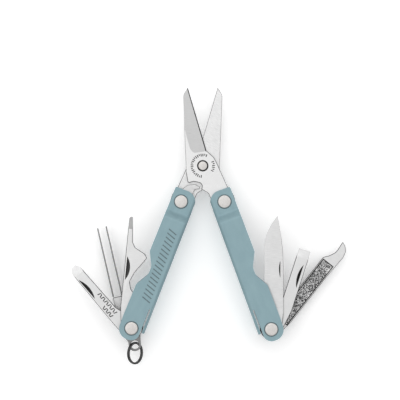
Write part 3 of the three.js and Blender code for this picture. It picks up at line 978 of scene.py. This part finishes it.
def pad_recesses():
    """The shallow recess on each face of the file that holds its teeth."""
    low, high = FILE
    return [block(*PAD, high - PAD_DEPTH, high + PAST), block(*PAD, low - PAST, low + PAD_DEPTH)]


def in_pad(centre, normal):
    """True on the floors of the recesses."""
    low, high = FILE
    half = (high - low) / 2 - PAD_DEPTH + NEAR
    return abs(normal.z) > 0.9 and abs(centre.z - (low + high) / 2) < half


tool(
    "nail_file",
    [
        (1.05, 35.4, 0.3), (-0.45, 37.2, 3), (-1.85, 40.2, 4), (-1.4, 45.1, 0.2), (-3.1, 44.4, 1),
        (-4.7, 43.0, 2), (-5.45, 40.4, 4), (-5.0, 30, 4), (-5.0, 7, 3), (-4.3, 1, 3),
        *reversed(TANG_FOOT), (4.3, 4, 2), (1.05, 8.6, 2),
    ],
    # the pads' floors get near-black steel as painted shade
    FILE, None, None, "nail_file_fold", "nail_file", "right", extras=pad_recesses(), marks=[("nick", in_pad)],
)


def scatter(i, j):
    """A value of 0 to 1 that varies from one grid point to the next without a pattern."""
    return math.sin(i * 12.9898 + j * 78.233) * 43758.5453 % 1


def file_teeth(name, face, sign):
    """A pad of coarse file teeth on one face: small steep pyramids in crossed rows of uneven height."""
    left, right, start, end = PAD[0] + PAD_GAP, PAD[1] - PAD_GAP, PAD[2] + PAD_GAP, PAD[3] - PAD_GAP
    columns = round(2 * (right - left) / TOOTH_PITCH)
    rows = round(2 * (end - start) / TOOTH_PITCH)
    work = bmesh.new()
    grid = []
    for j in range(rows + 1):
        line = []
        for i in range(columns + 1):
            x = left + (right - left) * i / columns
            y = start + (end - start) * j / rows
            if i in (0, columns) or j in (0, rows):
                height = BORDER_TOP
            elif (i + j) % 2:
                height = TOOTH_VALLEY
            else:
                height = TOOTH_TOP - TOOTH_SPREAD * scatter(i, j)
            line.append(work.verts.new((x, y, face + sign * height)))
        grid.append(line)
    for j in range(rows):
        for i in range(columns):
            work.faces.new((grid[j][i], grid[j][i + 1], grid[j + 1][i + 1], grid[j + 1][i]))
    base = face - sign * PAD_THICKNESS
    low_left, high_left, low_right, high_right = [
        work.verts.new((x, y, base)) for x in (left, right) for y in (start, end)
    ]
    work.faces.new([line[0] for line in grid] + [high_left, low_left])
    work.faces.new([line[-1] for line in grid] + [high_right, low_right])
    work.faces.new(grid[0] + [low_right, low_left])
    work.faces.new(grid[-1] + [high_right, high_left])
    work.faces.new((low_left, high_left, high_right, low_right))
    piece(name, written(work), tool_place("right", "nail_file_fold"), "file", "nail_file")


file_teeth("nail_file_teeth_front", FILE[1], 1)
file_teeth("nail_file_teeth_rear", FILE[0], -1)


# ---------------------------------------------------------------- tweezers

ARM = 0.5
ARM_ROOT = 13.4
ARM_SHOULDER = 30
ARM_TIP = 41.7
ARM_TIP_HALF = 0.7
ARM_OUTER = -4.95
ARM_INNER = -1.45
BASE_EDGE = -0.95
BASE_END = 13.1
HOLLOW_START = 4.6


def tweezer_arm(node, n, body):
    """A springing arm: a strip on edge that tapers in width to a blunt tip."""
    low, high = REAR
    centre = (low + high) / 2
    outline = [
        (ARM_ROOT, low, 0.1), (ARM_SHOULDER, low, 6), (ARM_TIP, centre - ARM_TIP_HALF, 0.4),
        (ARM_TIP, centre + ARM_TIP_HALF, 0.4), (ARM_SHOULDER, high, 6), (ARM_ROOT, high, 0.1),
    ]
    mesh = slab([rounded(outline)], n, n + ARM, 0.08)
    upright = Matrix(((0, 0, 1, 0), (1, 0, 0, 0), (0, 1, 0, 0), (0, 0, 0, 1)))
    mesh.transform(upright)
    piece(node, mesh, tool_place("left", "tweezers_fold"), "arm", body, [node])


def tweezer_base():
    """The folded base: a plate with the space between its two walls cut out beyond the rivet."""
    corners = [
        (ARM_OUTER, BASE_END, 0.3), (BASE_EDGE, BASE_END, 0.3), (BASE_EDGE, 9.5, 2), (4.3, 4, 2),
        *TANG_FOOT, (-4.3, 1, 2), (ARM_OUTER, 7, 3),
    ]
    low, high = REAR
    hollow = block(ARM_OUTER + ARM, THROUGH, HOLLOW_START, BASE_END + PAST, low + ARM, high - ARM)
    mesh = carve(plate(corners, REAR, edge=EDGE), [hollow])
    node = "tweezers_base"
    piece(node, mesh, tool_place("left", "tweezers_fold"), "spring", "tweezers", [node])


tweezer_arm("tweezers_outer_arm", ARM_OUTER, "tweezers_outer_arm")
tweezer_arm("tweezers_inner_arm", ARM_INNER, "tweezers_inner_arm")
tweezer_base()


# ---------------------------------------------------------------- washers and key ring

SPACER_BORE = 1.75


def spacer(node, body):
    """A plain washer in the space that the CAD gives it."""
    low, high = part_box(node)
    centre = (low + high) / 2
    radius = (high.x - low.x) / 2 / MM
    half = (high.z - low.z) / 2 / MM
    piece(node, washer(radius, SPACER_BORE, -half, half), place(centre, 0), "spring", body, [node])


for node in ("left_front_washer", "left_rear_washer"):
    spacer(node, "left_handle")
for node in ("right_ear_spacer", "right_middle_spacer", "right_rear_spacer"):
    spacer(node, "right_handle")

BAIL_HALF = 0.45
BAIL_EYE = (-27.06, -71.5)
BAIL_EYE_RADIUS = 1.7
BAIL_EDGE = 0.15


def bail():
    """The flat bail, from the left tool rivet to the eye that holds the ring."""
    corners = [
        (-31.6, -61.6, 3.2), (-25.0, -61.6, 3.2), (-24.9, -68.6, 1), (-24.5, -74.1, 2.5),
        (-29.6, -74.1, 2.5), (-29.7, -70.6, 1.5), (-31.7, -68.0, 1),
    ]
    end = (ENDS["left"] - PIVOT) / MM
    holes = [(HOLE, end.x, end.y), (BAIL_EYE_RADIUS, *BAIL_EYE)]
    mesh = plate(corners, (-BAIL_HALF, BAIL_HALF), holes, BAIL_EDGE)
    piece("key_ring_bail", mesh, place(PIVOT, 0), "arm", "key_ring_bail", ["key_ring_bail"])


RING_RADIUS = 4.1
RING_WIRE = (0.4, 0.24)  # half the wire's width and half its thickness
RING_CORNER = 0.45  # rounding of the wire, as a share of those
RING_LIFT = 0.25
RING_TILT = 52
RING_START = -110
RING_STEPS = 144
RING_CROSSING = (0.44, 0.56)  # where along the wire it steps from one layer to the other
RING_TAPER_STEPS = 4
RING_BLUNT = 0.35  # thickness of the wire's ends, as a share of its own


def split_ring():
    """Two turns of flattened wire that step from one layer to the other, with tapered ends."""
    square = [(-1, -1), (1, -1), (1, 1), (-1, 1)]
    section = rounded([(*corner, RING_CORNER) for corner in square], COARSE_STEP)
    start, end = RING_CROSSING
    work = bmesh.new()
    rings = []
    for k in range(RING_STEPS + 1):
        angle = 4 * math.pi * k / RING_STEPS
        lift = RING_LIFT * (2 * eased((k / RING_STEPS - start) / (end - start)) - 1)
        from_end = min(1.0, min(k, RING_STEPS - k) / RING_TAPER_STEPS)
        taper = RING_BLUNT + (1 - RING_BLUNT) * from_end
        ring = []
        for x, y in section:
            radius = RING_RADIUS + x * RING_WIRE[0]
            z = lift + y * RING_WIRE[1] * taper
            ring.append(work.verts.new((radius * math.cos(angle), radius * math.sin(angle), z)))
        rings.append(ring)
    for first, second in zip(rings, rings[1:]):
        for k in range(len(first)):
            after = (k + 1) % len(first)
            work.faces.new((first[k], first[after], second[after], second[k]))
    work.faces.new(rings[0])
    work.faces.new(rings[-1])
    tilted = Matrix.Rotation(math.radians(RING_TILT), 4, "Y")
    turned = Matrix.Rotation(math.radians(RING_START), 4, "Z")
    where = place(middle("split_ring"), 0) @ tilted @ turned
    piece("split_ring", written(work), where, "ring", "split_ring", ["split_ring"])


bail()
split_ring()


# ---------------------------------------------------------------- stage, light and camera

WORLD_HORIZON = 0.1
WORLD_ZENITH = 1.06
FLOOR_HALF = 600
FLOOR_THICKNESS = 2
FLOOR_DROP = 0.2 * MM


def studio():
    """A plain white floor in a white room that is brightest overhead."""
    world = bpy.data.worlds.new("studio")
    bpy.context.scene.world = world
    world.use_nodes = True
    tree = world.node_tree
    up = add(tree, "ShaderNodeSeparateXYZ", {"Vector": add(tree, "ShaderNodeTexCoord").outputs["Generated"]})
    bright = remap(tree, up.outputs["Z"], 0.0, 1.0, WORLD_HORIZON, WORLD_ZENITH)
    background = tree.nodes["Background"]
    background.inputs["Color"].default_value = (1, 1, 1, 1)
    tree.links.new(bright, background.inputs["Strength"])
    corners = [(-FLOOR_HALF, -FLOOR_HALF), (FLOOR_HALF, -FLOOR_HALF)]
    corners += [(FLOOR_HALF, FLOOR_HALF), (-FLOOR_HALF, FLOOR_HALF)]
    floor_mesh = slab([rounded(corners)], -FLOOR_THICKNESS, 0, 0.1)
    floor_mesh.transform(place(Vector((0, 0, -FLOOR_DROP)), 0))
    material, _, shader = nodes_of("floor")
    shader.inputs["Base Color"].default_value = (0.95, 0.95, 0.95, 1)
    shader.inputs["Roughness"].default_value = 0.95
    shader.inputs["Specular IOR Level"].default_value = 0.1
    shader.inputs["Emission Color"].default_value = (1, 1, 1, 1)
    shader.inputs["Emission Strength"].default_value = 0.2
    floor_mesh.materials.append(material)
    floor = bpy.data.objects.new("floor", floor_mesh)
    bpy.context.scene.collection.objects.link(floor)


SOFTBOX_SIZE = 2.0


def softbox(name, offset, power):
    """A large square light that faces the origin."""
    lamp = bpy.data.lights.new(name, "AREA")
    lamp.shape = "SQUARE"
    lamp.size = SOFTBOX_SIZE
    lamp.energy = power
    obj = bpy.data.objects.new(name, lamp)
    obj.location = Vector(offset)
    obj.rotation_euler = (-Vector(offset)).to_track_quat("-Z", "Y").to_euler()
    bpy.context.scene.collection.objects.link(obj)


VIEW_WIDTH = 0.16
VIEW_HEIGHT = 0.72
VIEW_SHIFT = Vector((-1.10, -13.66, 0)) * MM
SENSOR = 36


def camera():
    """Straight down, as far away as a portrait lens, with the pivot a little above the middle."""
    data = bpy.data.cameras.new("camera")
    data.sensor_width = SENSOR
    data.lens = SENSOR * VIEW_HEIGHT / VIEW_WIDTH
    data.clip_start = 0.01
    obj = bpy.data.objects.new("camera", data)
    obj.location = PIVOT + VIEW_SHIFT + Vector((0, 0, VIEW_HEIGHT))
    bpy.context.scene.collection.objects.link(obj)
    bpy.context.scene.camera = obj


studio()
softbox("key", (-0.6, 0.5, 0.5), 6.0)
softbox("fill", (0.5, 0.75, 0.5), 4.2)
camera()
bpy.context.scene.view_settings.view_transform = "Standard"
